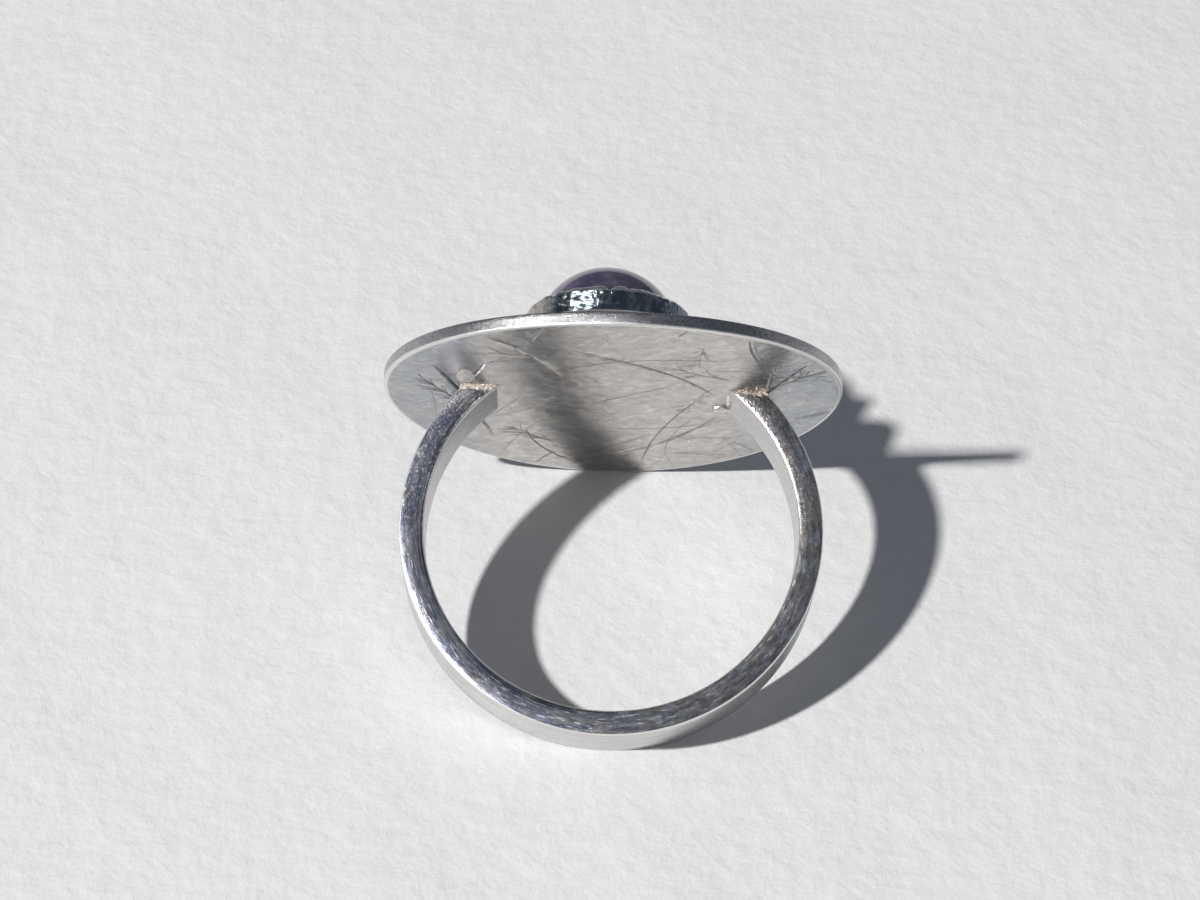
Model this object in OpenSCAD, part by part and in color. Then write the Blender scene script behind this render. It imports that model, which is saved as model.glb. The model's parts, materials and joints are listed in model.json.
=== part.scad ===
// Ring with a large, gently bent disc across the top of its band. A thick round base and a bezel stand on the
// disc and hold a round, high-domed stone. All sizes are in millimetres.
// The pieces are drawn as the ring is worn: the finger goes along Z and the stone looks along +Y.
// The module as_it_lies then turns the ring about X, onto the rim of the disc and the edge of the band.

/* [Band] */
// Inside diameter of the band, round the finger
finger_d = 17.3; // [15:0.1:22]
// Thickness of the band from its inside to its outside
band_t = 1.15; // [0.8:0.05:2.5]
// Width of the band along the finger
band_w = 3.3; // [2:0.1:6]
// Rounding of the band's four edges
band_edge = 0.12; // [0.05:0.01:0.3]

/* [Disc] */
// Diameter of the disc
disc_d = 21.6; // [19:0.2:30]
// Thickness of the disc
disc_t = 0.65; // [0.5:0.05:1.5]
// Depth by which the disc cuts into the round finger hole
disc_drop = 2.05; // [1:0.05:3]
// Rise of the disc's two side ends above its middle
disc_rise = 0.5; // [0.1:0.05:1.5]

/* [Base and bezel] */
// Distance of the base, the bezel and the stone from the middle of the disc, towards +X
setting_x = -0.35; // [-1:0.05:1]
// Height of the base above the middle of the disc
base_h = 2.25; // [1.2:0.05:4]
// Width of the ledge of the base outside the bezel
base_ledge = 1.65; // [1:0.05:3]
// Rounding of the upper edge of the base
base_edge = 0.8; // [0.2:0.05:0.9]
// Thickness of the bezel wall beside the stone
bezel_t = 0.4; // [0.3:0.05:1.2]
// Distance by which the bezel's outer edge stands out past its foot
bezel_flare = 0.06; // [0:0.02:0.3]
// Height of the bezel's outer edge above the widest line of the stone
bezel_reach = 1.1; // [0.3:0.05:1.2]
// Angle above the widest line of the stone at which the rim of the bezel ends
lip_angle = 20; // [15:1:35]

/* [Solder] */
// Width of the solder outside the legs, along the disc
solder_out = 0.5; // [0.2:0.05:0.8]
// Width of the solder inside the legs, along the disc
solder_in = 0.3; // [0.2:0.05:0.6]

/* [Rest] */
// Height worn flat on the disc's rim and on the band's edge, where the ring rests
rest_wear = 0.06; // [0.02:0.01:0.15]

/* [Stone] */
// Diameter of the stone
stone_d = 6.9; // [4.5:0.05:8]
// Height of the straight side of the stone, below its dome
girdle_h = 0.2; // [0.2:0.05:2]
// Bevel round the foot of the stone
stone_bevel = 0.1; // [0.05:0.05:0.15]
// Gap between the stone and the metal
stone_gap = 0.05; // [0.03:0.01:0.12]

/* [Hidden] */

$fn = 128;
bend_fn = 720;  // sides of the wide circles that bend the disc
lip_steps = 6;  // straight stretches along the inside of the lip
solder_steps = 5;  // straight stretches across a fillet of solder
lap = 0.1;  // depth to which soldered pieces run into each other
spare = 1;  // length by which a cutting solid runs past what it cuts

band_ri = finger_d / 2;
band_ro = band_ri + band_t;
disc_r = disc_d / 2;
seat_y = band_ri - disc_drop;  // underside of the disc, at its middle
top_y = seat_y + disc_t;
bend_r = (disc_r * disc_r + disc_rise * disc_rise) / (2 * disc_rise);
bend_y = seat_y + bend_r;  // line round which the disc is bent

stone_r = stone_d / 2;
pocket_r = stone_r + stone_gap;
bezel_r = pocket_r + bezel_t;
base_r = bezel_r + base_ledge;
base_y = top_y + base_h;
stone_y = base_y + stone_gap;  // foot of the stone
girdle_y = stone_y + girdle_h;  // widest line of the stone, where its dome starts
corner_r = bezel_r + bezel_flare;
corner_y = girdle_y + bezel_reach;

// How the ring lies: the lower edge of the disc's far rim and the rounded far edge of the band stand on the table,
// both worn a little flat there
lean_y = seat_y + band_ro - band_edge;
lean_z = disc_r - band_w / 2 + band_edge;
tilt = atan2(lean_z, lean_y) - asin(band_edge / norm([lean_y, lean_z]));
floor_z = seat_y * sin(tilt) - disc_r * cos(tilt) + rest_wear;
front_y = min(
    -(band_ro - band_edge) * cos(tilt) - (band_w / 2 - band_edge) * sin(tilt) - band_edge,
    seat_y * cos(tilt) - disc_r * sin(tilt));
back_y = max(
    girdle_y * cos(tilt) + stone_r,
    corner_y * cos(tilt) + corner_r * sin(tilt),
    (base_y - base_edge) * cos(tilt) + (base_r - base_edge) * sin(tilt) + base_edge,
    top_y * cos(tilt) + disc_r * sin(tilt));

// Point on the round of the given radius at the given height above the middle of the finger hole
function on_round(r, y) = [sqrt(r * r - y * y), y];

// Height of the underside of the disc at a distance x from its middle
function underside(x) = bend_y - sqrt(bend_r * bend_r - x * x);

// Corner between the underside of the disc and the round of radius r, inside or outside of the band
function leg_corner(r) = on_round(r, (r * r + bend_y * bend_y - bend_r * bend_r) / (2 * bend_y));

// Point at the share t of the curve that leaves a towards b and reaches c from b
function curve_point(a, b, c, t) = (1 - t) * (1 - t) * a + 2 * t * (1 - t) * b + t * t * c;

// Outline of the solder in one corner of a leg. side is 1 outside the band and -1 inside it
function solder_outline(r, side, width) =
    let (corner = leg_corner(r),
         turn = atan2(corner[1], corner[0]) - width / r * 180 / PI,
         in_leg = r - side * lap,
         leg_foot = r * [cos(turn), sin(turn)],
         disc_x = corner[0] + side * width,
         disc_foot = [disc_x, underside(disc_x)])
    concat(
        [for (i = [0 : solder_steps]) curve_point(disc_foot, corner, leg_foot, i / solder_steps)],
        [in_leg * [cos(turn), sin(turn)],
         corner - side * [lap, 0] + [0, lap],
         disc_foot + [0, lap]]);

// Turns the ring from the way it is worn to the way it lies, with the table at Z = 0
module as_it_lies() {
    translate([0, -(front_y + back_y) / 2, -floor_z]) rotate([tilt, 0, 0]) children();
}

// Points a round piece that is drawn along Z towards the stone, with its foot at height y
module on_disc(y, x = 0) {
    translate([x, y, 0]) rotate([-90, 0, 0]) children();
}

// All that lies on the stone's side of the disc's middle layer
module above_disc(length) {
    translate([0, bend_y, 0])
        cylinder(r = bend_r - disc_t / 2, h = length, center = true, $fn = bend_fn);
}

// Bar section with rounded corners, from x = 0 outwards and centred on y
module rounded_section(wide, tall, edge) {
    translate([0, edge - tall / 2]) square([wide, tall - 2 * edge]);
    translate([edge, -tall / 2]) square([wide - 2 * edge, tall]);
    for (x = [edge, wide - edge], y = [edge - tall / 2, tall / 2 - edge])
        translate([x, y]) circle(edge);
}

module band() {
    color("silver") difference() {
        rotate_extrude() translate([band_ri, 0]) rounded_section(band_t, band_w, band_edge);
        above_disc(band_w + spare);
    }
}

module disc() {
    color("lightgray") intersection() {
        on_disc(seat_y - spare) cylinder(r = disc_r, h = disc_rise + disc_t + 2 * spare);
        difference() {
            translate([0, bend_y, 0]) cylinder(r = bend_r, h = disc_d + spare, center = true, $fn = bend_fn);
            translate([0, bend_y, 0])
                cylinder(r = bend_r - disc_t, h = disc_d + 2 * spare, center = true, $fn = bend_fn);
        }
    }
}

module base() {
    color("silver") intersection() {
        on_disc(seat_y, setting_x) {
            cylinder(r = base_r, h = disc_t + base_h - base_edge);
            cylinder(r = base_r - base_edge, h = disc_t + base_h);
            translate([0, 0, disc_t + base_h - base_edge])
                rotate_extrude() translate([base_r - base_edge, 0]) circle(base_edge);
        }
        above_disc(2 * base_r + spare);
    }
}

module bezel() {
    inside = [for (i = [lip_steps : -1 : 0])
        let (angle = lip_angle * i / lip_steps)
        [pocket_r * cos(angle), girdle_y - base_y + pocket_r * sin(angle)]];
    outside = [
        [pocket_r, -lap],
        [bezel_r, -lap],
        [bezel_r, girdle_h / 2],
        [corner_r, corner_y - base_y - bezel_flare],
        [corner_r - bezel_flare / 2, corner_y - base_y],
    ];
    color("silver") on_disc(base_y, setting_x) rotate_extrude() polygon(concat(outside, inside));
}

module solder() {
    color("rosybrown") for (leg = [0, 1], fillet = [[band_ro, 1, solder_out], [band_ri, -1, solder_in]])
        mirror([leg, 0, 0])
            linear_extrude(height = band_w - 2 * band_edge, center = true)
                polygon(solder_outline(fillet[0], fillet[1], fillet[2]));
}

module stone() {
    color("#3c3243") on_disc(girdle_y, setting_x) {
        intersection() {
            sphere(r = stone_r);
            cylinder(r = stone_r + spare, h = stone_r + spare);
        }
        translate([0, 0, stone_bevel - girdle_h]) cylinder(r = stone_r, h = girdle_h - stone_bevel);
        translate([0, 0, -girdle_h]) cylinder(r1 = stone_r - stone_bevel, r2 = stone_r, h = stone_bevel);
    }
}

module silver_ring() {
    difference() {
        as_it_lies() {
            band();
            disc();
            base();
            bezel();
            solder();
        }
        translate([-disc_r, -disc_d, -spare]) cube([disc_d, 2 * disc_d, spare]);
    }
}

module cabochon_stone() {
    as_it_lies() stone();
}

silver_ring();
cabochon_stone();
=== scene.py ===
import json
import math
import random

import bmesh
import bpy
import numpy as np
from mathutils import Matrix, Vector, noise
from mathutils.geometry import delaunay_2d_cdt


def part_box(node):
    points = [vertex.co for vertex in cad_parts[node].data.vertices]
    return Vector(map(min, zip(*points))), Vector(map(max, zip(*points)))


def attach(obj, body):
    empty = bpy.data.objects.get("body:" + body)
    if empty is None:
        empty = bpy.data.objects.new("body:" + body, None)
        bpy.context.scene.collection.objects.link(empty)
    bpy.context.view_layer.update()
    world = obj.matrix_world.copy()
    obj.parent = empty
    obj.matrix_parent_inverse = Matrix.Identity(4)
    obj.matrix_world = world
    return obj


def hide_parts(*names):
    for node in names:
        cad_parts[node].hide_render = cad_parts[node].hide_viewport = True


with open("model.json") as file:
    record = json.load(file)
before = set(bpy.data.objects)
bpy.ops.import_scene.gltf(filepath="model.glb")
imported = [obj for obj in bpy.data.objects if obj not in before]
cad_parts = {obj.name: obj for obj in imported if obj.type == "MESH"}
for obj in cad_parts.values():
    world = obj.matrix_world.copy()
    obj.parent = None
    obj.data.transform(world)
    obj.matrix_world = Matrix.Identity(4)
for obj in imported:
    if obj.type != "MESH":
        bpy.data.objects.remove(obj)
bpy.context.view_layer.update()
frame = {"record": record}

# The dictionaries of the pieces hold millimetres. Pieces are made as the ring is worn, with the finger
# along Z and the stone towards +Y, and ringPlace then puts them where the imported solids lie.
mm = 0.001
hole = frame["record"]["mounts"][0]
tilt = math.atan2(-hole["axis"][1], hole["axis"][2])
ringPlace = Matrix.Translation(hole["pos_m"]) @ Matrix.Rotation(tilt, 4, "X") @ Matrix.Scale(mm, 4)

ringLow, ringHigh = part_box("silver_ring")
stoneLow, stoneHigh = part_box("cabochon_stone")
discRadius = (ringHigh.x - ringLow.x) / 2 / mm
stoneRadius = (stoneHigh.x - stoneLow.x) / 2 / mm
settingX = (stoneHigh.x + stoneLow.x) / 2 / mm


class Wire:  # an output socket that takes part in plain sums
    def __init__(self, bench, socket):
        self.bench = bench
        self.socket = socket

    def also(self, name):  # another output of the same node
        return Wire(self.bench, self.socket.node.outputs[name])

    def math(self, operation, *values):
        return self.bench.add("ShaderNodeMath", {"operation": operation}, dict(enumerate(values)))

    def __add__(self, other):
        return self.math("ADD", self, other)

    __radd__ = __add__

    def __sub__(self, other):
        return self.math("SUBTRACT", self, other)

    def __rsub__(self, other):
        return self.math("SUBTRACT", other, self)

    def __mul__(self, other):
        return self.math("MULTIPLY", self, other)

    __rmul__ = __mul__

    def __truediv__(self, other):
        return self.math("DIVIDE", self, other)

    def __rtruediv__(self, other):
        return self.math("DIVIDE", other, self)

    def __pow__(self, other):
        return self.math("POWER", self, other)

    def __abs__(self):
        return self.math("ABSOLUTE", self)


class Bench:  # builds one node tree, of a material or of a piece
    def __init__(self, tree):
        self.tree = tree

    def add(self, kind, settings=None, feeds=None, out=0):
        node = self.tree.nodes.new(kind)
        for name, value in (settings or {}).items():
            setattr(node, name, value)
        for key, value in (feeds or {}).items():
            if isinstance(value, Wire):
                self.tree.links.new(value.socket, node.inputs[key])
            else:
                node.inputs[key].default_value = value
        return Wire(self, node.outputs[out]) if node.outputs else None

    def step(self, value, low, high):  # 0 up to low and 1 from high on, or falling when low is the larger
        if low > high:
            return 1 - self.step(value, high, low)
        return self.add("ShaderNodeMapRange", {"interpolation_type": "SMOOTHSTEP"},
                        {"Value": value, "From Min": low, "From Max": high})

    def mixColour(self, mask, first, second):
        first, second = (c if isinstance(c, Wire) else (*c, 1.0) for c in (first, second))
        return self.add("ShaderNodeMix", {"data_type": "RGBA"}, {0: mask, 6: first, 7: second}, out=2)

    def mixValue(self, mask, first, second):
        return self.add("ShaderNodeMix", {"data_type": "FLOAT"}, {0: mask, 2: first, 3: second})

    def noise(self, place, scale, detail=3.0, rough=0.55):
        return self.add("ShaderNodeTexNoise", {},
                        {"Vector": place, "Scale": scale, "Detail": detail, "Roughness": rough})

    def join(self, x, y, z):
        return self.add("ShaderNodeCombineXYZ", {}, {0: x, 1: y, 2: z})


def ringSpace(bench):  # the place on the ring as it is worn, in millimetres: the vector, then x, y and z
    here = bench.add("ShaderNodeTexCoord", out="Object")
    place = bench.add("ShaderNodeMapping", {"vector_type": "TEXTURE"},
                      {"Vector": here, "Location": hole["pos_m"], "Rotation": (tilt, 0.0, 0.0),
                       "Scale": (mm, mm, mm)})
    x = bench.add("ShaderNodeSeparateXYZ", {}, {0: place})
    return place, x, x.also("Y"), x.also("Z")


def newMaterial(name):
    material = bpy.data.materials.new(name)
    material.use_nodes = True
    material.node_tree.nodes.clear()
    return material, Bench(material.node_tree)


def finishMaterial(bench, colour, rough, bumps, fixed):
    normal = None
    for height, depth in bumps:  # depth in millimetres for a height of 1
        feeds = {"Height": height, "Distance": depth * mm}
        if normal:
            feeds["Normal"] = normal
        normal = bench.add("ShaderNodeBump", {}, feeds)
    feeds = {"Base Color": colour, "Roughness": rough, "Normal": normal, **fixed}
    surface = bench.add("ShaderNodeBsdfPrincipled", {}, feeds)
    bench.add("ShaderNodeOutputMaterial", {}, {"Surface": surface})


# Tints that several pieces share
silver = {
    "clean": (0.86, 0.85, 0.83), "dusk": (0.53, 0.525, 0.54), "dark": (0.29, 0.295, 0.32),
    "fireScale": (0.42, 0.34, 0.29),
}


def makePiece(name, mesh, material, node):
    mesh.name = name
    mesh.materials.clear()
    mesh.materials.append(material)
    mesh.transform(ringPlace)
    mesh.update()
    piece = bpy.data.objects.new(name, mesh)
    bpy.context.scene.collection.objects.link(piece)
    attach(piece, "root")
    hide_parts(node)
    print(name, "made of", len(mesh.polygons), "faces")


def meshFrom(name, points, faces):
    mesh = bpy.data.meshes.new(name)
    mesh.from_pydata([tuple(p) for p in points], [], faces)
    work = bmesh.new()
    work.from_mesh(mesh)
    bmesh.ops.recalc_face_normals(work, faces=work.faces)
    work.to_mesh(mesh)
    work.free()
    mesh.polygons.foreach_set("use_smooth", [True] * len(mesh.polygons))
    return mesh


def skinOver(rings, closed=False):
    # faces between rings of equally many points. A ring of one point closes an end, and closed joins the
    # last ring to the first
    points = [p for ring in rings for p in ring]
    starts = np.cumsum([0] + [len(ring) for ring in rings])
    faces = []
    pairs = list(zip(range(len(rings)), range(1, len(rings))))
    if closed:
        pairs.append((len(rings) - 1, 0))
    for i, j in pairs:
        a, b = starts[i], starts[j]
        count = max(len(rings[i]), len(rings[j]))
        for k in range(count):
            after = (k + 1) % count
            if len(rings[i]) == 1:
                faces.append((a, b + k, b + after))
            elif len(rings[j]) == 1:
                faces.append((a + k, b, a + after))
            else:
                faces.append((a + k, a + after, b + after, b + k))
    return points, [tuple(int(v) for v in face) for face in faces]


def arc(centre, radius, start, end, count):  # points of an arc, by its angles in degrees
    angles = [math.radians(start + (end - start) * i / count) for i in range(count + 1)]
    return [(centre[0] + radius * math.cos(a), centre[1] + radius * math.sin(a)) for a in angles]


def spread(outline, gap):  # the outline with points no further apart than gap
    points = [outline[0]]
    for a, b in zip(outline, outline[1:]):
        parts = max(1, math.ceil(math.dist(a, b) / gap))
        points.extend((a[0] + (b[0] - a[0]) * i / parts, a[1] + (b[1] - a[1]) * i / parts)
                      for i in range(1, parts + 1))
    return points


def turned(outline, sides, nudge):
    # an outline of (radius, height) turned round the stone's axis, and nudge(radius, height, angle) adds
    # to both
    rings = []
    for radius, height in outline:
        if radius == 0:
            rings.append([(settingX, height, 0.0)])
            continue
        ring = []
        for k in range(sides):
            angle = 2 * math.pi * k / sides
            out, up = nudge(radius, height, angle)
            ring.append((settingX + (radius + out) * math.cos(angle), height + up,
                         (radius + out) * math.sin(angle)))
        rings.append(ring)
    return skinOver(rings)


def runTree(tree, values, mesh=None):  # the plain mesh that a Geometry Nodes tree makes with these inputs
    carrier = bpy.data.objects.new(tree.name, mesh or bpy.data.meshes.new(tree.name))
    bpy.context.scene.collection.objects.link(carrier)
    modifier = carrier.modifiers.new(tree.name, "NODES")
    modifier.node_group = tree
    for item in tree.interface.items_tree:
        if item.in_out == "INPUT" and item.name in values:
            modifier[item.identifier] = values[item.name]
    graph = bpy.context.evaluated_depsgraph_get()
    made = bpy.data.meshes.new_from_object(carrier.evaluated_get(graph), depsgraph=graph)
    bpy.data.objects.remove(carrier)
    return made


def newTree(name, inputs):
    # a Geometry Nodes tree with these (name, kind) inputs, its bench, and the outputs of its input node
    tree = bpy.data.node_groups.new(name, "GeometryNodeTree")
    tree.interface.new_socket("Geometry", in_out="INPUT", socket_type="NodeSocketGeometry")
    tree.interface.new_socket("Geometry", in_out="OUTPUT", socket_type="NodeSocketGeometry")
    for title, kind in inputs:
        tree.interface.new_socket(title, in_out="INPUT", socket_type="NodeSocket" + kind)
    bench = Bench(tree)
    entry = bench.add("NodeGroupInput")
    return tree, bench, {title: entry.also(title) for title in ["Geometry"] + [i[0] for i in inputs]}


def endTree(bench, geometry, material):
    geometry = bench.add("GeometryNodeRealizeInstances", {}, {"Geometry": geometry})
    geometry = bench.add("GeometryNodeSetShadeSmooth", {}, {"Geometry": geometry})
    geometry = bench.add("GeometryNodeSetMaterial", {}, {"Geometry": geometry, "Material": material})
    bench.add("NodeGroupOutput", {}, {"Geometry": geometry})


# The band
bandSizes = {
    "Inside Diameter": 17.3, "Thickness": 1.15, "Width": 3.3, "Edge Rounding": 0.10, "Crown": 0.060,
    "Cut Height": 6.95, "Steps": 400, "Wobble": 0.030, "Wobble Scale": 0.55,
}
bandTints = {
    "sideLow": (0.33, 0.335, 0.36), "sideHigh": (0.76, 0.755, 0.77), "blue": (0.31, 0.34, 0.52),
    "brown": (0.42, 0.33, 0.29), "scuff": (0.66, 0.66, 0.69), "lineDark": (0.10, 0.10, 0.12),
    "lineBright": (0.80, 0.79, 0.80), "nick": (0.95, 0.94, 0.92), "pebbled": (0.78, 0.70, 0.66),
    "flankLow": (0.50, 0.495, 0.49), "flankHigh": (0.70, 0.695, 0.685),
}


def bandSilver(sizes, tints):
    material, bench = newMaterial("band_silver")
    step, mix = bench.step, bench.mixColour
    place, x, y, z = ringSpace(bench)
    inner = sizes["Inside Diameter"] / 2
    outer = inner + sizes["Thickness"]
    half = sizes["Width"] / 2
    radius = (x * x + y * y) ** 0.5
    around = x.math("ARCTAN2", x, 0 - y)  # 0 at the palm, so its jump is hidden under the disc

    def grains(across, along, detail):  # noise with so many grains to the millimetre and to the radian
        return bench.noise(bench.join(radius * across, around * along, z * across), 1.0, detail, 0.70)

    fromArris = radius.math("MINIMUM", radius - inner, outer - radius)
    onSide = step(abs(z), half - 0.12, half - 0.07) * step(fromArris, 0.02, 0.05)
    nearSide = step(abs(z), half - 0.20, half - 0.12)
    arris = step(fromArris, 0.09, 0.05) * nearSide
    burr = step(radius, inner + 0.16, inner + 0.07) * nearSide
    atLeft = step(x, 0.0, -3.0)

    grain = grains(7, 13, 6.0)
    speckle = bench.mixValue(step(y, -4.0, 2.0), grains(12, 15, 3.0), grains(12, 62, 3.0))
    lines = grains(9, 2.6, 4.0)
    pebbles = bench.noise(place, 8.0, 2.0, 0.6)
    cloud = bench.noise(place, 0.55, 2.0)
    hue = bench.noise(place, 1.3, 3.0) - step(x, -4.0, 6.0) * 0.21 + 0.09  # bluer at the left
    filed = bench.noise(bench.join(radius * 10, around * 1.3, 0.0), 1.0, 3.0)
    nicks = bench.noise(bench.join((x + y) * 6, (x - y) * 1.4, z * 3), 1.0, 1.0)
    nearLegs = step(y + pebbles * 1.4, 5.6, 7.3)
    nearInner = step(radius, inner + 0.62, inner + 0.15) * step(x, 4.0, -1.0)
    scuffed = step(lines, 0.50, 0.60) * step(cloud, 0.32, 0.55)
    bright = step(speckle, 0.58, 0.68) * step(grain, 0.44, 0.60)

    side = mix(step(grain, 0.38, 0.58), tints["sideLow"], tints["sideHigh"])
    side = mix(step(hue, 0.46, 0.62) * 0.60, side, tints["blue"])
    side = mix(step(hue, 0.46, 0.34) * 0.50, side, tints["brown"])
    side = mix(scuffed * 0.7, side, tints["scuff"])
    side = mix(nearInner * step(filed, 0.52, 0.57) * 0.85, side, tints["lineDark"])
    side = mix(nearInner * step(filed, 0.47, 0.42) * 0.8, side, tints["lineBright"])
    side = mix(step(nicks, 0.71, 0.74), side, tints["nick"])
    side = mix(bright * (0.6 - step(x, 2.0, 6.0) * 0.3), side, silver["clean"])
    side = mix(nearLegs * step(pebbles, 0.48, 0.58), side, tints["pebbled"])
    flank = mix(step(lines, 0.35, 0.65), tints["flankLow"], tints["flankHigh"])
    flank = mix(step(cloud, 0.50, 0.75) * 0.4, flank, silver["dusk"])
    # painted shade: the left leg's flanks are painted darker towards the disc
    flank = mix(atLeft * step(y, 0.5, 5.0) * 0.75, flank, silver["dark"])
    colour = mix(arris, mix(onSide, flank, side), silver["clean"])

    sideRough = 0.21 + step(grain, 0.4, 0.65) * 0.05 + step(speckle, 0.54, 0.64) * 0.14
    rough = bench.mixValue(onSide, bench.mixValue(lines, 0.20, 0.34), sideRough)
    rough = bench.mixValue(arris, rough, 0.24 + atLeft * 0.32)
    bumps = [(lines, 0.006), (grain * onSide, 0.009), (filed * nearInner * onSide, 0.016),
             (pebbles * nearLegs, 0.018), (burr * atLeft * step(y, 0.5, 3.0), 0.026)]
    finishMaterial(bench, colour, rough, bumps, {"Metallic": 1.0})
    return material


def makeBand(sizes):
    # a bar section swept round the finger. Its ends are drawn out to one height, inside the disc
    inputs = [(name, "Int" if name == "Steps" else "Float") for name in sizes]
    tree, bench, given = newTree("band_sweep", inputs)
    middle = (given["Inside Diameter"] + given["Thickness"]) * 0.5
    reach = middle.math("ARCSINE", given["Cut Height"] / middle) + math.pi / 2  # from the palm to a leg
    path = bench.add("GeometryNodeCurveArc", {"mode": "RADIUS"}, {
        "Resolution": given["Steps"], "Radius": middle, "Start Angle": reach * -1 - math.pi / 2,
        "Sweep Angle": reach * 2})
    bar = bench.add("GeometryNodeCurvePrimitiveQuadrilateral", {},
                    {"Width": given["Thickness"], "Height": given["Width"]})
    bar = bench.add("GeometryNodeFilletCurve", {"mode": "POLY"},
                    {"Curve": bar, "Radius": given["Edge Rounding"], "Count": 4})
    bar = bench.add("GeometryNodeSubdivideCurve", {}, {"Curve": bar, "Cuts": 7})
    swept = bench.add("GeometryNodeCurveToMesh", {},
                      {"Curve": path, "Profile Curve": bar, "Fill Caps": True})
    here = bench.add("GeometryNodeInputPosition")
    x = bench.add("ShaderNodeSeparateXYZ", {}, {0: here})
    y = x.also("Y")
    radius = (x * x + y * y) ** 0.5
    angle = x.math("ARCTAN2", x, 0 - y)
    ownReach = radius.math("ARCSINE", given["Cut Height"] / radius) + math.pi / 2
    angle = angle * ownReach / reach
    fromMiddle = (radius - middle) / (given["Thickness"] * 0.5)
    # the sides are filed a little round
    narrowed = 1 - fromMiddle * fromMiddle * given["Crown"] / (given["Width"] * 0.5)
    moved = bench.join(radius * angle.math("SINE", angle), 0 - radius * angle.math("COSINE", angle),
                       x.also("Z") * narrowed)
    swept = bench.add("GeometryNodeSetPosition", {}, {"Geometry": swept, "Position": moved})
    uneven = bench.noise(bench.add("GeometryNodeInputPosition"), given["Wobble Scale"], 3.0) - 0.5
    along = bench.add("ShaderNodeVectorMath", {"operation": "SCALE"},
                      {0: bench.add("GeometryNodeInputNormal"), "Scale": uneven * given["Wobble"]})
    swept = bench.add("GeometryNodeSetPosition", {}, {"Geometry": swept, "Offset": along})
    material = bandSilver(sizes, bandTints)
    endTree(bench, swept, material)
    makePiece("band", runTree(tree, sizes), material, "silver_ring")


makeBand(bandSizes)

# The disc, with fine lines pressed into its underside
discSizes = {
    "thickness": 0.65, "seat": 6.60, "rise": 0.5, "edge": 0.09, "sides": 480, "gap": 0.40, "rimGap": 0.12,
    "wave": 0.010, "waveScale": 0.42, "outline": 0.030,
    "seed": 23, "long": 27, "longLength": (4.5, 11.0), "fans": 10, "fanLength": (2.0, 4.5),
    "lineWidth": 0.058, "lineDepth": 0.046, "ridgeAt": 1.25, "ridgeHeight": 0.35,
    "leg": 6.1, "dullSpotPaintedReflection": (-7.2, 4.6),
}
discTints = {
    "underMiddle": (0.52, 0.50, 0.47), "underEnds": (0.36, 0.385, 0.41), "pale": (0.63, 0.62, 0.60),
    "brushedDark": (0.33, 0.325, 0.315), "brushedBright": (0.76, 0.75, 0.73), "dimple": (0.36, 0.36, 0.36),
    "dullSpotPaintedReflection": (0.22, 0.215, 0.215), "pressedLineDark": (0.045, 0.045, 0.05), "rimLow": (0.26, 0.26, 0.29),
    "rimHigh": (0.52, 0.515, 0.52), "rimShade": (0.22, 0.22, 0.25), "upper": (0.74, 0.73, 0.72),
}
bendRadius = (discRadius ** 2 + discSizes["rise"] ** 2) / (2 * discSizes["rise"])
bendY = discSizes["seat"] + bendRadius


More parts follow.
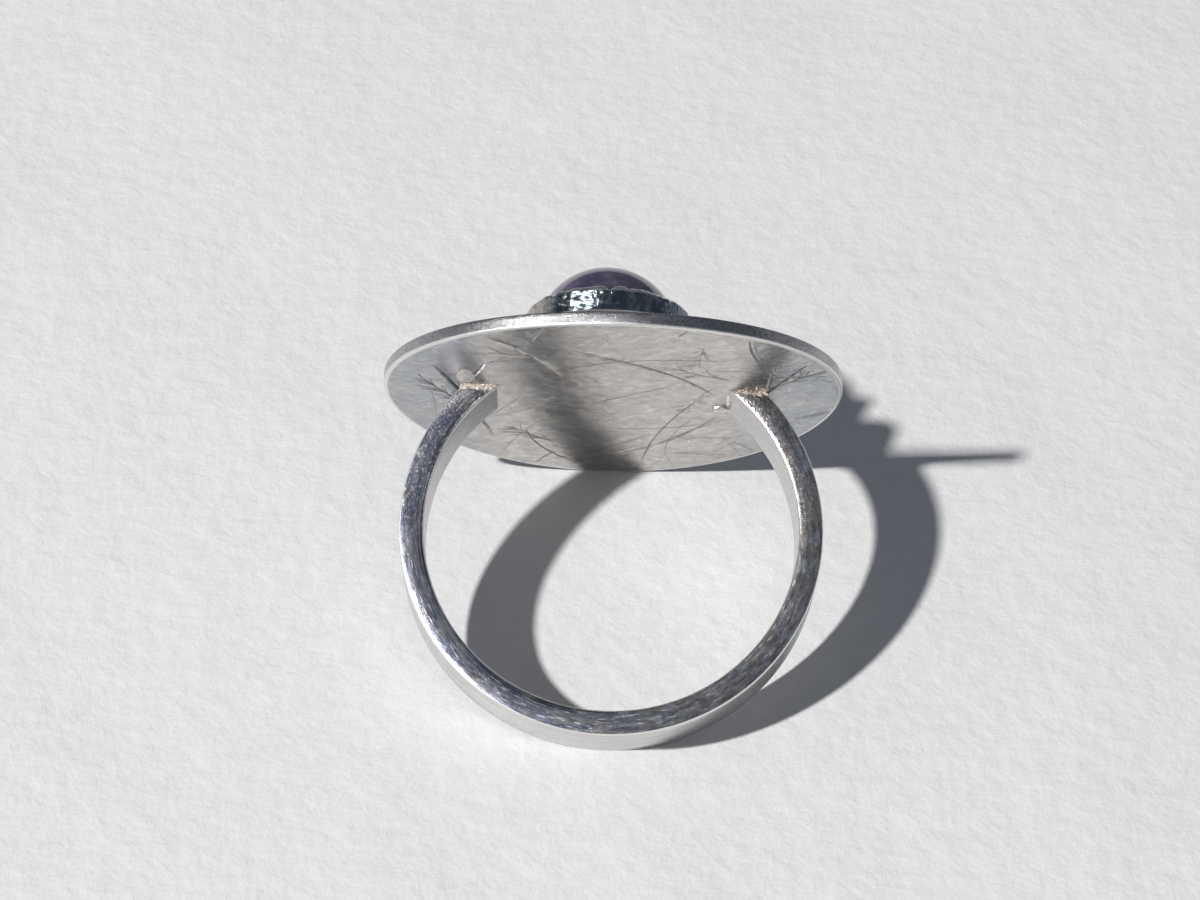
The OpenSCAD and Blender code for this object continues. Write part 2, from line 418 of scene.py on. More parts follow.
def discSilver(sizes, tints):
    material, bench = newMaterial("disc_silver")
    step, mix = bench.step, bench.mixColour
    place, x, y, z = ringSpace(bench)
    fromAxis = (x * x + z * z) ** 0.5
    height = y - x * x * (sizes["rise"] / discRadius ** 2) - sizes["seat"]  # above the bent underside
    onRim = step(fromAxis, discRadius - 0.09, discRadius - 0.04)
    onFace = 1 - onRim
    above = step(height, 0.42, 0.56)
    edge = step(fromAxis, discRadius - 0.21, discRadius - 0.14) * step(height, 0.12, 0.07)
    groove = bench.add("ShaderNodeAttribute", {"attribute_name": "groove"}, out="Fac")

    bent = bench.noise(bench.join(x, y, z * 0.8), 0.7, 2.0)
    brushed = bench.noise(bench.join(x * 1.7 + bent * 3, y, z * 2.8 + bent * 7), 1.0, 6.0, 0.70)
    dimples = bench.noise(bench.join(x * 5, y, z * 7), 1.0, 3.0, 0.6)
    grain = bench.noise(place, 11.0, 4.0, 0.7)
    speckle = bench.noise(place, 24.0, 3.0, 0.7)
    cloud = bench.noise(place, 0.45, 3.0)
    fromLeg = abs(x) - sizes["leg"]
    nearLeg = step(fromLeg * fromLeg * 1.6 + z * z * 0.22, 1.0, 0.2)
    across, along = x - sizes["dullSpotPaintedReflection"][0], z - sizes["dullSpotPaintedReflection"][1]
    fromDullSpot = across * across * 0.9 + along * along * 0.13 + bent * 0.6
    dullSpotPaintedReflection = step(fromDullSpot, 1.7, 0.5)  # the disc is duller beside the left leg, and its colour is painted darker there: a painted reflection of the leg
    fromSetting = ((x - settingX) * (x - settingX) + z * z) ** 0.5

    # painted shade: the underside is painted darker and bluer towards its two ends
    under = mix(step(abs(x) + cloud * 4 - 2, 5.0, 8.5), tints["underMiddle"], tints["underEnds"])
    under = mix(step(cloud, 0.40, 0.70) * 0.35, under, tints["pale"])
    under = mix(step(brushed, 0.50, 0.62) * 0.55, under, tints["brushedDark"])
    under = mix(step(brushed, 0.48, 0.36) * 0.55, under, tints["brushedBright"])
    under = mix(step(dimples, 0.52, 0.64) * 0.30, under, tints["dimple"])
    under = mix(nearLeg * step(grain, 0.3, 0.6) * 0.75, under, silver["fireScale"])
    # painted reflection: the disc is painted darker beside the left leg, where the leg's dark reflection
    # falls
    under = mix(dullSpotPaintedReflection * 0.55, under, tints["dullSpotPaintedReflection"])
    # the pressed lines are coloured darker, less so towards the right
    under = mix(groove * (0.80 - step(x, 2.0, 7.0) * 0.32), under, tints["pressedLineDark"])
    upper = mix(step(cloud, 0.2, 0.8), tints["upper"], silver["clean"])
    upper = mix(step(brushed, 0.5, 0.7) * 0.20, upper, silver["dusk"])
    upper = mix(step(fromSetting, 6.6, 5.5) * step(grain, 0.25, 0.6), upper, silver["dusk"])
    rim = mix(step(grain, 0.40, 0.58), tints["rimLow"], tints["rimHigh"])
    # painted shade: the rim is painted darker towards the right
    rim = mix(step(x, 1.0, 5.0) * step(cloud, 0.65, 0.45) * 0.5, rim, tints["rimShade"])
    rim = mix(step(speckle, 0.52, 0.66) * 0.8, rim, silver["clean"])
    colour = mix(onRim, mix(above, under, upper), rim)
    colour = mix(edge * step(grain, 0.2, 0.45), colour, silver["clean"])

    rough = bench.mixValue(cloud, 0.17, 0.26) + step(brushed, 0.4, 0.8) * 0.06
    rough = rough + onRim * 0.03 + edge * 0.12 + dullSpotPaintedReflection * onFace * 0.15
    bumps = [(brushed * onFace, 0.022), (dimples * onFace, 0.006), (grain * onRim, 0.026), (cloud, 0.03)]
    finishMaterial(bench, colour, rough, bumps, {"Metallic": 1.0})
    return material


def discHeight(x, thickness=0.0):  # height of the bent disc above the middle of the finger hole
    return bendY - math.sqrt((bendRadius - thickness) ** 2 - x * x)


def drawnLine(dice, start, heading, length, curl, step=0.2):
    points = [start]
    for i in range(max(2, round(length / step))):
        heading += curl * step + dice.uniform(-0.02, 0.02)
        points.append((points[-1][0] + step * math.cos(heading), points[-1][1] + step * math.sin(heading)))
    return points


def pressedLines(sizes):  # lines as lists of (x, z), each with its width and depth
    dice = random.Random(sizes["seed"])
    lines = []
    for i in range(sizes["long"]):
        spot, spin = discRadius * math.sqrt(dice.random()) * 0.95, dice.uniform(0, 2 * math.pi)
        start = (spot * math.cos(spin), spot * math.sin(spin))
        heading = dice.choice((math.pi / 2, -math.pi / 2, math.pi / 2, 0.2)) + dice.uniform(-0.65, 0.65)
        length = dice.uniform(*sizes["longLength"])
        size = 0.6 + 1.3 * dice.random() ** 2
        line = drawnLine(dice, start, heading, length, dice.uniform(-0.12, 0.12))
        lines.append((line, size))
        if dice.random() < 0.55:
            fork = line[round(len(line) * dice.uniform(0.35, 0.7))]
            turn = dice.choice((-1, 1)) * dice.uniform(0.35, 0.7)
            lines.append((drawnLine(dice, fork, heading + turn, length * 0.4, turn * -0.1), size * 0.8))
    for i in range(sizes["fans"]):
        spot, spin = discRadius * math.sqrt(dice.random()) * 0.85, dice.uniform(0, 2 * math.pi)
        start = (spot * math.cos(spin), spot * math.sin(spin))
        heading = dice.uniform(0, 2 * math.pi)
        length, curl = dice.uniform(*sizes["fanLength"]), dice.uniform(-0.15, 0.15)
        spine = drawnLine(dice, start, heading, length, curl, 0.1)
        lines.append((spine, 0.7))
        side = dice.choice((-1, 1))
        for k in range(4, len(spine), 2):
            lean = heading + side * dice.uniform(0.3, 0.55)
            reach = dice.uniform(0.5, 1.3) * math.sin(math.pi * k / len(spine)) + 0.3
            barb = drawnLine(dice, spine[k], lean, reach, 0.35 * side, 0.1)
            lines.append((barb, dice.uniform(0.35, 0.6)))
            if dice.random() < 0.25:
                side = -side
    limit = discRadius - sizes["edge"] - 0.15
    kept = []
    for line, size in lines:
        inside = [p for p in line if math.hypot(*p) < limit]
        if len(inside) > 3:
            kept.append((np.array(inside), size))
    return kept


def pressedField(lines, places, sizes):
    # for each place: how far the surface is pushed in, in millimetres, and how dark the line is there
    push = np.zeros(len(places))
    dark = np.zeros(len(places))
    for line, size in lines:
        width = sizes["lineWidth"] * size
        low, high = line.min(0) - 3 * width, line.max(0) + 3 * width
        near = np.flatnonzero(((places > low) & (places < high)).all(1))
        if not len(near):
            continue
        p = places[near][:, None, :]
        a, b = line[None, :-1], line[None, 1:]
        t = np.clip(((p - a) * (b - a)).sum(2) / ((b - a) ** 2).sum(2), 0, 1)
        away = np.linalg.norm(p - (a + t[..., None] * (b - a)), axis=2)
        k = away.argmin(1)
        rows = np.arange(len(near))
        share = (k + t[rows, k]) / (len(line) - 1)
        fade = np.clip(np.minimum(share, 1 - share) * 6, 0, 1) ** 0.7
        d = away[rows, k] / width
        valley = np.exp(-(d / 0.55) ** 2)
        ridge = np.exp(-((d - sizes["ridgeAt"]) / 0.5) ** 2)
        depth = sizes["lineDepth"] * size * fade
        push[near] = np.maximum(push[near], valley * depth)
        push[near] -= np.where(push[near] < 0.004, ridge * depth * sizes["ridgeHeight"], 0)
        dark[near] = np.maximum(dark[near], valley * fade * min(1.0, size + 0.1))
    return push, dark


def offsetLine(line, away):
    run = np.gradient(line, axis=0)
    run /= np.linalg.norm(run, axis=1)[:, None] + 1e-9
    return line + away * np.stack([-run[:, 1], run[:, 0]], 1)


def flatWeb(sizes, lines):
    # points and triangles that fill the disc's circle, dense beside the pressed lines
    radius = discRadius - sizes["edge"]
    count = sizes["sides"]
    ring = [(radius * math.cos(2 * math.pi * k / count), radius * math.sin(2 * math.pi * k / count))
            for k in range(count)]
    points = list(ring)
    edges = [(k, (k + 1) % count) for k in range(count)]
    gap = sizes["gap"]
    rows = int(radius / gap) + 1
    for i in range(-rows, rows + 1):
        for j in range(-rows, rows + 1):
            spot = ((j + 0.5 * (i % 2)) * gap, i * gap * 0.87)
            if math.hypot(*spot) < radius - 0.3 * gap:
                points.append(spot)
    for line, size in lines:
        width = sizes["lineWidth"] * size
        for away in (-2.0, -sizes["ridgeAt"], -0.6, 0.0, 0.6, sizes["ridgeAt"], 2.0):
            beside = offsetLine(line, away * width)
            first = len(points)
            points.extend(map(tuple, beside))
            edges.extend((first + k, first + k + 1) for k in range(len(beside) - 1))
    made = delaunay_2d_cdt([Vector(p) for p in points], edges, [], 0, 1e-5, True)
    where = np.array([tuple(v) for v in made[0]])
    rim = [None] * count
    for new, old in enumerate(made[3]):
        for one in old:
            if one < count:
                rim[one] = new
    return where, [tuple(face) for face in made[2]], rim


def makeDisc(sizes):
    lines = pressedLines(sizes)
    where, faces, rim = flatWeb(sizes, lines)
    push, dark = pressedField(lines, where, sizes)
    points = []
    for k, (x, z) in enumerate(where):
        wave = noise.noise(Vector((x, z, 3.0)) * sizes["waveScale"]) * sizes["wave"]
        points.append((x, discHeight(x) + wave + push[k], z))
    darkness = list(dark)
    topWhere, topFaces, topRim = flatWeb(sizes, [])
    shift = len(points)
    for x, z in topWhere:
        wave = noise.noise(Vector((x, z, 9.0)) * sizes["waveScale"]) * sizes["wave"] * 2
        points.append((x, discHeight(x, sizes["thickness"]) + wave, z))
        darkness.append(0.0)
    allFaces = faces + [tuple(v + shift for v in face) for face in topFaces]
    rings = [rim]
    edge, thick, count = sizes["edge"], sizes["thickness"], sizes["sides"]
    lower = [(discRadius - edge + edge * math.sin(a), edge - edge * math.cos(a)) for a in (0.5, 1.0)]
    lower += arc((discRadius - edge, edge), edge, -10, 0, 1)
    upper = [(discRadius, thick - edge)] + arc((discRadius - edge, thick - edge), edge, 30, 60, 1)
    profile = spread(lower + upper, sizes["rimGap"])
    for radius, up in profile:
        start = len(points)
        for k in range(count):
            angle = 2 * math.pi * k / count
            c, s = math.cos(angle), math.sin(angle)
            out = noise.noise(Vector((c * 3, up * 2, s * 3))) * sizes["outline"]
            out *= radius > discRadius - 0.02  # the two faces keep their circle
            x = (radius + out) * c
            points.append((x, discHeight(x) + up, (radius + out) * s))
            darkness.append(0.0)
        rings.append(list(range(start, start + count)))
    rings.append([v + shift for v in topRim])
    for a, b in zip(rings, rings[1:]):
        for k in range(count):
            after = (k + 1) % count
            allFaces.append((a[k], a[after], b[after], b[k]))
    mesh = meshFrom("disc", points, allFaces)
    mesh.attributes.new("groove", "FLOAT", "POINT").data.foreach_set("value", darkness)
    makePiece("disc", mesh, discSilver(sizes, discTints), "silver_ring")


makeDisc(discSizes)

# The base and the bezel
settingSizes = {
    "sunk": 0.30, "top": 9.50, "baseRadius": 5.55, "baseEdge": 0.8, "baseGap": 0.22, "middle": 2.4,
    "bezelRadius": 3.88, "lap": 0.1, "straight": 0.30, "flare": 0.09, "rim": 10.93, "round": 0.18,
    "lip": 0.07, "saddle": 0.09, "sides": 360, "bezelGap": 0.10, "burnish": 0.012, "ripple": 0.050,
}
bezelNicks = (  # degrees round the stone, degrees wide, depth
    (89.0, 3.0, 0.17), (81.0, 2.4, -0.07), (76.0, 1.5, 0.06), (131.0, 2.5, 0.06), (184.0, 38.0, 0.13),
)
settingTints = {
    "wallLow": (0.13, 0.17, 0.22), "wallHigh": (0.37, 0.41, 0.44), "greenish": (0.42, 0.50, 0.36),
    "pit": (0.62, 0.64, 0.66), "rightEndPaintedShade": (0.09, 0.11, 0.15), "fleck": (0.075, 0.095, 0.115),
    "dullLow": (0.36, 0.33, 0.31), "dullHigh": (0.56, 0.55, 0.53), "base": (0.72, 0.71, 0.70),
}
stoneSizes = {  # here already, because the bezel follows the stone
    "girdle": 9.75, "straight": 0.2, "bevel": 0.1, "gap": 0.05, "sides": 192, "rings": 60, "uneven": 0.012,
    "middle": 1.5,
}


def settingSilver(sizes, tints):
    material, bench = newMaterial("setting_silver")
    step, mix = bench.step, bench.mixColour
    place, x, y, z = ringSpace(bench)
    across = x - settingX
    radius = (across * across + z * z) ** 0.5
    around = z.math("ARCTAN2", z, across)
    streaks = bench.noise(bench.join(across / radius * 9, y * 1.1, z / radius * 9), 1.0, 4.0, 0.6)
    grain = bench.noise(place, 12.0, 3.0, 0.65)
    cloud = bench.noise(place, 0.8, 2.0)
    pits = bench.noise(place, 3.6, 3.0, 0.7)
    flecks = bench.noise(place, 4.5, 3.0, 0.7)
    top, rim, wall = sizes["top"], sizes["rim"], sizes["bezelRadius"]
    onBezel = step(y, top, top + 0.12) * step(radius, wall + 0.42, wall + 0.32)
    crimped = onBezel * step(y + pits * 0.5, rim - 0.63, rim - 0.23)
    lip = step(y + streaks * 0.12, rim - 0.13, rim - 0.03)
    # both ends of the wall are paler and rougher
    paleDullEnds = step(abs(around), 2.18, 2.34) + step(abs(around), 0.34, 0.24)
    broken = 0.28 + step(abs(around), 1.35, 1.75) * 0.50  # the dark flecks are painted strongest where the sun glints, to break the glint up: partly the wall's uneven colour, partly painted shade

    bezel = mix(step(streaks, 0.38, 0.64), tints["wallLow"], tints["wallHigh"])
    bezel = mix(step(grain, 0.56, 0.68) * 0.35, bezel, tints["greenish"])
    bezel = mix(step(pits, 0.56, 0.68) * 0.4, bezel, tints["pit"])
    bezel = mix(step(flecks, 0.49, 0.56) * broken, bezel, tints["fleck"])
    # painted shade: the wall is painted darker towards its right end
    bezel = mix(step(abs(around), 1.00, 0.75) * 0.75, bezel, tints["rightEndPaintedShade"])
    bezel = mix(paleDullEnds, bezel, mix(step(grain, 0.35, 0.62), tints["dullLow"], tints["dullHigh"]))
    bezel = mix(lip * step(grain, 0.25, 0.5), bezel, silver["clean"])
    base = mix(step(cloud, 0.2, 0.8), tints["base"], silver["clean"])
    base = mix(step(grain, 0.50, 0.68) * 0.3, base, silver["dusk"])
    base = mix(step(y, 8.0, 7.3) * 0.6, base, silver["dusk"])
    colour = mix(onBezel, base, bezel)

    bezelRough = 0.11 + step(pits, 0.4, 0.7) * 0.05 + paleDullEnds * 0.16
    rough = bench.mixValue(onBezel, bench.mixValue(grain, 0.22, 0.36), bezelRough)
    bumps = [(streaks * onBezel, 0.035), (grain, 0.010), (pits * onBezel, 0.012), (pits * crimped, 0.022)]
    finishMaterial(bench, colour, rough, bumps, {"Metallic": 1.0})
    return material


def makeBase(sizes, material):
    foot, top, edge = discSizes["seat"] + sizes["sunk"], sizes["top"], sizes["baseEdge"]
    side = [(sizes["baseRadius"], foot)] + arc((sizes["baseRadius"] - edge, top - edge), edge, 0, 90, 14)
    outline = [(0, foot)] + spread(side, sizes["baseGap"]) + [(sizes["middle"], top), (0, top)]

    def nudge(radius, height, angle):
        spot = Vector((math.cos(angle) * 2.2, height * 0.5, math.sin(angle) * 2.2))
        return noise.noise(spot) * sizes["burnish"], noise.noise(spot * 1.7) * sizes["burnish"] * 0.6

    points, faces = turned(outline, sizes["sides"], nudge)
    makePiece("base", meshFrom("base", points, faces), material, "silver_ring")


def makeBezel(sizes, nicks, material):
    wall, flare, bend, rim, lip = (sizes[name] for name in ("bezelRadius", "flare", "round", "rim", "lip"))
    foot, girdle = sizes["top"] - sizes["lap"], stoneSizes["girdle"]
    inner = stoneRadius + stoneSizes["gap"]

    def overStone(height):  # radius at which the metal meets the dome
        return math.sqrt(inner ** 2 - max(0.0, height - girdle) ** 2)

    lipRadius = overStone(rim - lip)
    outline = [(wall, foot), (wall, foot + sizes["straight"])]
    outline += arc((wall + flare - bend, rim - bend), bend, -8, 80, 8)
    outline += arc((lipRadius + lip, rim - lip), lip, 90, 180, 5)
    outline += [(overStone(height), height) for height in np.linspace(rim - 2 * lip, girdle, 5)]
    outline += [(inner, foot)]
    outline = spread(outline, sizes["bezelGap"])

    def nudge(radius, height, angle):
        # the pushed-in rim stands higher over the band's two open sides, and is rippled and nicked
        up = max(0.0, min(1.0, (height - girdle) / (rim - girdle))) ** 1.5
        spot = Vector((math.cos(angle) * 5, height * 1.4, math.sin(angle) * 5))
        ripple = noise.noise(spot) + 0.5 * noise.noise(spot * 3.1) + 0.3 * noise.noise(spot * 7.7)
        ripple *= sizes["ripple"]
        tooth = math.sin(angle * 23 + 2.0 * math.sin(angle * 3)) * sizes["burnish"]
        degrees = math.degrees(angle)
        nick = sum(deep * math.exp(-((degrees - at) / wide) ** 2) for at, wide, deep in nicks)
        rise = up * (ripple - sizes["saddle"] * math.cos(2 * angle) - nick)
        onStone = max(0.0, min(1.0, (lipRadius + 0.35 - radius) / 0.3))
        follow = onStone * (overStone(height + rise) - overStone(height))
        out = (1 - onStone) * (tooth * up + ripple * (0.3 + 0.7 * up) - 0.4 * nick * up)
        return out + follow, rise

    count = sizes["sides"] * 2
    points, faces = turned(outline, count, nudge)
    last = len(points) - count
    faces += [(k, (k + 1) % count, last + (k + 1) % count, last + k) for k in range(count)]  # the foot
    makePiece("bezel", meshFrom("bezel", points, faces), material, "silver_ring")


setting = settingSilver(settingSizes, settingTints)
makeBase(settingSizes, setting)
makeBezel(settingSizes, bezelNicks, setting)

# The stone
stoneTints = {"deep": (0.040, 0.035, 0.068), "veil": (0.095, 0.075, 0.130), "fleck": (0.16, 0.115, 0.11)}


def stonePurple(tints):
    material, bench = newMaterial("stone_purple")
    place = ringSpace(bench)[0]
    veil = bench.noise(place, 0.9, 4.0, 0.6)
    fleck = bench.noise(place, 3.5, 3.0)
    scratches = bench.noise(place, 6.0, 2.0)
    colour = bench.mixColour(bench.step(veil, 0.36, 0.64), tints["deep"], tints["veil"])
    colour = bench.mixColour(bench.step(fleck, 0.58, 0.72) * 0.45, colour, tints["fleck"])
    rough = bench.mixValue(bench.step(fleck, 0.5, 0.8), 0.05, 0.11)
    finishMaterial(bench, colour, rough, [(scratches, 0.003)],
                   {"Metallic": 0.0, "IOR": 1.60, "Coat Weight": 0.35, "Coat Roughness": 0.04})
    return material


def makeStone(sizes, tints):
    foot, bevel = sizes["girdle"] - sizes["straight"], sizes["bevel"]
    outline = [(0, foot), (sizes["middle"], foot)]
    outline += [(stoneRadius - bevel, foot), (stoneRadius, foot + bevel)]
    outline += arc((0, sizes["girdle"]), stoneRadius, 0, 88.5, sizes["rings"])
    outline += [(0, sizes["girdle"] + stoneRadius)]

    def nudge(radius, height, angle):
        spot = Vector((radius * math.cos(angle), height, radius * math.sin(angle))) * 0.5
        return -abs(noise.noise(spot)) * sizes["uneven"], 0.0

    points, faces = turned(outline, sizes["sides"], nudge)
    makePiece("stone", meshFrom("stone", points, faces), stonePurple(tints), "cabochon_stone")


makeStone(stoneSizes, stoneTints)

# The solder round the foot of each leg
solderSizes = {
    "out": 0.19, "down": 0.27, "corner": 0.14, "inDisc": 0.18, "gap": 0.07, "leastRight": 0.15,
    "leastLeft": 0.03, "sunk": 0.10, "inLeg": 0.12, "hollow": 0.05, "lumps": 0.025,
}
grainSizes = {"Density": 80.0, "Grain Radius": 0.062, "Above": 1.58, "Seed": 4}
spurSizes = {
    "from": 5.75, "to": 4.70, "across": -0.75, "bow": -0.12, "width": 0.20, "depth": 0.24, "steps": 22,
    "sides": 20, "shineAt": 5.1, "shineLong": (0.66, 0.50), "shineWide": (1.20, 1.05),
}
poolSizes = {"x": -6.85, "z": 2.85, "wide": 0.46, "long": 0.92, "depth": 0.035, "rings": 14, "sides": 48}
solderTints = {
    "warm": (0.73, 0.63, 0.56), "left": (0.88, 0.83, 0.74), "spur": (0.92, 0.91, 0.90),
    "poolEdge": (0.80, 0.67, 0.50), "pool": (0.60, 0.60, 0.58),
}


def solderSilver(tints):
    material, bench = newMaterial("solder_silver")
    step, mix = bench.step, bench.mixColour
    place, x, _, z = ringSpace(bench)
    grain = bench.noise(place, 7.0, 4.0, 0.7)
    cloud = bench.noise(place, 1.6, 2.0)
    onSpur = step(abs(x - spurSizes["shineAt"]), *spurSizes["shineLong"])
    onSpur = onSpur * step(abs(z), *spurSizes["shineWide"])
    across, along = (x - poolSizes["x"]) / poolSizes["wide"], (z - poolSizes["z"]) / poolSizes["long"]
    fromPool = across * across + along * along
    colour = mix(step(cloud, 0.42, 0.62), tints["warm"], silver["fireScale"])
    # painted highlight: the solder is painted paler at the left leg
    colour = mix(step(x, 0.0, -1.0) * 0.75, colour, tints["left"])
    # painted highlight: the spur's middle is painted near white
    colour = mix(onSpur * 0.85, colour, tints["spur"])
    colour = mix(step(fromPool, 1.5, 1.3), colour, tints["poolEdge"])
    colour = mix(step(fromPool, 0.85, 0.6), colour, tints["pool"])
    colour = mix(step(grain, 0.52, 0.64), colour, silver["clean"])
    colour = mix(step(grain, 0.42, 0.30) * 0.8, colour, silver["dark"])
    bumps = [(grain * (1 - onSpur * 0.8), 0.08)]
    finishMaterial(bench, colour, bench.mixValue(grain, 0.18, 0.40), bumps, {"Metallic": 1.0})
    return material


def legRound(sizes):
    # stations round a leg's foot on the disc: x, z, the way out of the leg and the way down the leg
    inner = bandSizes["Inside Diameter"] / 2
    outer = inner + bandSizes["Thickness"]
    seat = discSizes["seat"] + sizes["inDisc"]
    x0, x1 = math.sqrt(inner ** 2 - seat ** 2), math.sqrt(outer ** 2 - seat ** 2)
    half = bandSizes["Width"] / 2
    corner = sizes["corner"]
    outline = []
    for cx, cz, start in ((x1 - corner, half - corner, 0), (x0 + corner, half - corner, 90),
                          (x0 + corner, corner - half, 180), (x1 - corner, corner - half, 270)):
        outline += arc((cx, cz), corner, start, start + 90, 5)
    outline = spread(outline + outline[:1], sizes["gap"])[:-1]
    stations = []
    for k, (x, z) in enumerate(outline):
        back, ahead = outline[k - 1], outline[(k + 1) % len(outline)]
        way = Vector((ahead[1] - back[1], -(ahead[0] - back[0]))).normalized()
        spin = math.atan2(seat, x)
        stations.append((x, z, way, (math.sin(spin), -math.cos(spin))))
    return stations


def makeSolder(sizes, material):
    points, faces = [], []
    for side, least in ((1, sizes["leastRight"]), (-1, sizes["leastLeft"])):
        rings = []
        for x, z, way, down in legRound(sizes):
            lump = noise.noise(Vector((x * side * 1.3, z * 1.3, 4.0)))
            lump += 0.5 * noise.noise(Vector((x * side * 4, z * 4, 8.0)))
            near = least + (1 - least) * max(0.0, way.y)  # most of it shows on the side that looks up
            wide = sizes["out"] * near * (1 + 0.7 * lump)
            deep = sizes["down"] * near * (1 + 0.8 * lump)
            bottom = Vector((x * side, discHeight(x), z))
            outward = Vector((way.x * side, 0, way.y))
            downward = Vector((down[0] * side, down[1], 0))
            foot = bottom + outward * wide
            foot.y = discHeight(foot.x)
            head = bottom + downward * deep
            sunk = Vector((0, sizes["sunk"], 0))
            ring = [foot + sunk]
            for i in range(7):
                t = i / 6
                hollow = (bottom + outward * sizes["hollow"]) * 2 * t * (1 - t)
                spot = foot * (1 - t) ** 2 + hollow + head * t ** 2
                bead = noise.noise(spot * 9) * sizes["lumps"] * math.sin(math.pi * t)
                ring.append(spot + (outward - Vector((0, 1, 0))) * bead * near)
            ring.append(head - outward * sizes["inLeg"])
            ring.append(bottom - outward * sizes["inLeg"] + sunk)
            rings.append(ring)
        ringPoints, ringFaces = skinOver(rings, closed=True)
        faces += [tuple(v + len(points) for v in face) for face in ringFaces]
        points += ringPoints
    mesh = meshFrom("solder", points, faces)
    beads = scatterGrains(mesh.copy(), grainSizes, material)
    makePiece("solder_grains", beads, material, "silver_ring")
    makePiece("solder", mesh, material, "silver_ring")


def scatterGrains(mesh, sizes, material):
    # small beads of solder that stand on the fillets
    tree, bench, given = newTree("bead_scatter", [
        ("Density", "Float"), ("Grain Radius", "Float"), ("Above", "Float"), ("Seed", "Int")])
    here = bench.add("GeometryNodeInputPosition")
    height = bench.add("ShaderNodeSeparateXYZ", {}, {0: here}).also("Z")
    onTop = height.math("GREATER_THAN", height, given["Above"])
    spots = bench.add("GeometryNodeDistributePointsOnFaces", {"distribute_method": "RANDOM"},
                      {"Mesh": given["Geometry"], "Selection": onTop, "Density": given["Density"],
                       "Seed": given["Seed"]})
    bead = bench.add("GeometryNodeMeshIcoSphere", {}, {"Radius": given["Grain Radius"], "Subdivisions": 2})
    size = bench.add("FunctionNodeRandomValue", {"data_type": "FLOAT"},
                     {"Min": 0.4, "Max": 1.2, "Seed": given["Seed"]}, out="Value")
    beads = bench.add("GeometryNodeInstanceOnPoints", {},
                      {"Points": spots, "Instance": bead, "Scale": size})
    endTree(bench, beads, material)
    return runTree(tree, sizes, mesh)


def makeSpur(sizes, material):
    # a run of solder from the right leg's far inner corner, along the disc
    rings = []
    steps, sides = sizes["steps"], sizes["sides"]
    for i in range(steps + 1):
        t = i / steps
        x = sizes["from"] + (sizes["to"] - sizes["from"]) * t
        z = sizes["across"] - sizes["bow"] * math.sin(math.pi * t)
        swell = math.sqrt(max(0.0, 1 - (2 * t - 1) ** 4)) * (0.75 + 0.35 * t)
        if i in (0, steps):
            rings.append([(x, discHeight(x), z)])
            continue
        ring = []
        for k in range(sides):
            angle = 2 * math.pi * k / sides
            lump = 1 + 0.25 * noise.noise(Vector((x * 4, math.cos(angle), math.sin(angle))))
            ring.append((x, discHeight(x) + 0.02 + sizes["depth"] * swell * lump * math.sin(angle),
                         z + sizes["width"] * swell * lump * math.cos(angle)))
        rings.append(ring)
    makePiece("solder_spur", meshFrom("solder_spur", *skinOver(rings)), material, "silver_ring")


def makePool(sizes, material):
    # solder that ran out on the disc beside the left leg
    rings = [[(sizes["x"], discHeight(sizes["x"]) - sizes["depth"], sizes["z"])]]
    for share in np.linspace(0.1, 1.0, sizes["rings"]):
        ring = []
        for k in range(sizes["sides"]):
            angle = 2 * math.pi * k / sizes["sides"]
            reach = share * (1 + 0.12 * noise.noise(Vector((math.cos(angle), math.sin(angle), 0.5))))
            x = sizes["x"] + sizes["wide"] * reach * math.cos(angle)
            depth = sizes["depth"] * (math.sqrt(max(0.0, 1 - share ** 6)) * 1.5 - 0.5)
            ring.append((x, discHeight(x) - depth, sizes["z"] + sizes["long"] * reach * math.sin(angle)))
        rings.append(ring)
    rings.append([(sizes["x"], discHeight(sizes["x"]) + 0.1, sizes["z"])])
    makePiece("solder_pool", meshFrom("solder_pool", *skinOver(rings)), material, "silver_ring")


solderFinish = solderSilver(solderTints)
makeSolder(solderSizes, solderFinish)
makeSpur(spurSizes, solderFinish)
makePool(poolSizes, solderFinish)

# The floor and the light, in metres, and the camera, in millimetres and degrees
stageSizes = {
    "floor": 3.0, "paper": (0.80, 0.80, 0.81), "fibres": 900.0, "swells": 60.0,
    "world": (0.62, 0.68, 0.78), "worldStrength": 0.20,
}
light = {
    "from": (-0.555, -0.438, 0.707), "aimUp": 0.009, "away": 1.50, "size": 0.070, "watts": 26.2,
    "colour": (1.0, 0.98, 0.955),
}
camera = {
    "aim": (-0.575, 1.607, 8.94), "away": 158.66, "up": 42.84, "round": 0.43, "roll": 1.44, "lens": 102.1,
    "sensor": 36.0,
}


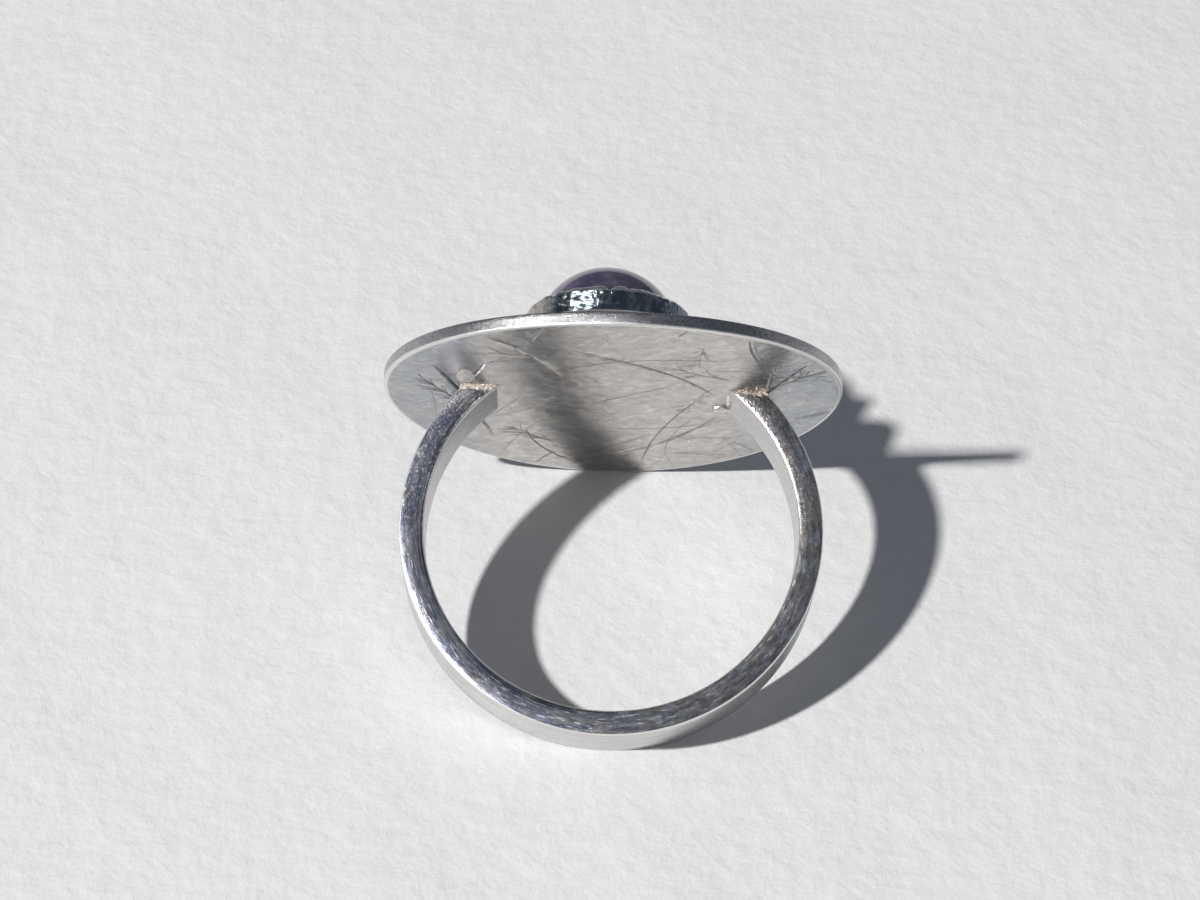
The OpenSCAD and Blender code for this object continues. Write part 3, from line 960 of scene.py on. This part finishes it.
def makeFloor(sizes):
    half = sizes["floor"] / 2
    mesh = bpy.data.meshes.new("floor")
    corners = [(-half, -half, 0), (half, -half, 0), (half, half, 0), (-half, half, 0)]
    mesh.from_pydata(corners, [], [(0, 1, 2, 3)])
    floor = bpy.data.objects.new("floor", mesh)
    bpy.context.scene.collection.objects.link(floor)
    material, bench = newMaterial("pale_paper")
    here = bench.add("ShaderNodeTexCoord", out="Object")
    fibre = bench.noise(here, sizes["fibres"], 4.0, 0.6)
    swell = bench.noise(here, sizes["swells"], 2.0)
    dull = tuple(c * 0.96 for c in sizes["paper"])
    colour = bench.mixColour(bench.step(fibre, 0.3, 0.7), dull, sizes["paper"])
    finishMaterial(bench, colour, 0.9, [(fibre, 0.11), (swell, 0.5)], {"Specular IOR Level": 0.2})
    mesh.materials.append(material)


def makeLight(sizes):
    lamp = bpy.data.lights.new("soft_key", "AREA")
    lamp.shape = "DISK"
    lamp.size = sizes["size"]
    lamp.energy = sizes["watts"]
    lamp.color = sizes["colour"]
    key = bpy.data.objects.new("soft_key", lamp)
    way = Vector(sizes["from"]).normalized()
    key.location = way * sizes["away"] + Vector((0, 0, sizes["aimUp"]))
    key.rotation_euler = way.to_track_quat("Z", "Y").to_euler()
    bpy.context.scene.collection.objects.link(key)


def makeWorld(sizes):
    world = bpy.data.worlds.new("studio")
    world.use_nodes = True
    background = world.node_tree.nodes["Background"]
    background.inputs["Color"].default_value = (*sizes["world"], 1.0)
    background.inputs["Strength"].default_value = sizes["worldStrength"]
    bpy.context.scene.world = world


def makeCamera(sizes):
    lens = bpy.data.cameras.new("camera")
    lens.lens = sizes["lens"]
    lens.sensor_width = sizes["sensor"]
    lens.clip_start = 0.01
    view = bpy.data.objects.new("camera", lens)
    up, spin = math.radians(sizes["up"]), math.radians(sizes["round"])
    back = Vector((-math.sin(spin) * math.cos(up), -math.cos(spin) * math.cos(up), math.sin(up)))
    turn = back.to_track_quat("Z", "Y").to_matrix().to_4x4()
    turn = turn @ Matrix.Rotation(math.radians(sizes["roll"]), 4, "Z")
    view.matrix_world = Matrix.Translation((Vector(sizes["aim"]) + back * sizes["away"]) * mm) @ turn
    bpy.context.scene.collection.objects.link(view)
    bpy.context.scene.camera = view


makeFloor(stageSizes)
makeWorld(stageSizes)
makeLight(light)
makeCamera(camera)
bpy.context.scene.view_settings.view_transform = "Standard"
print("stage, light and camera placed")

bpy.context.view_layer.update()
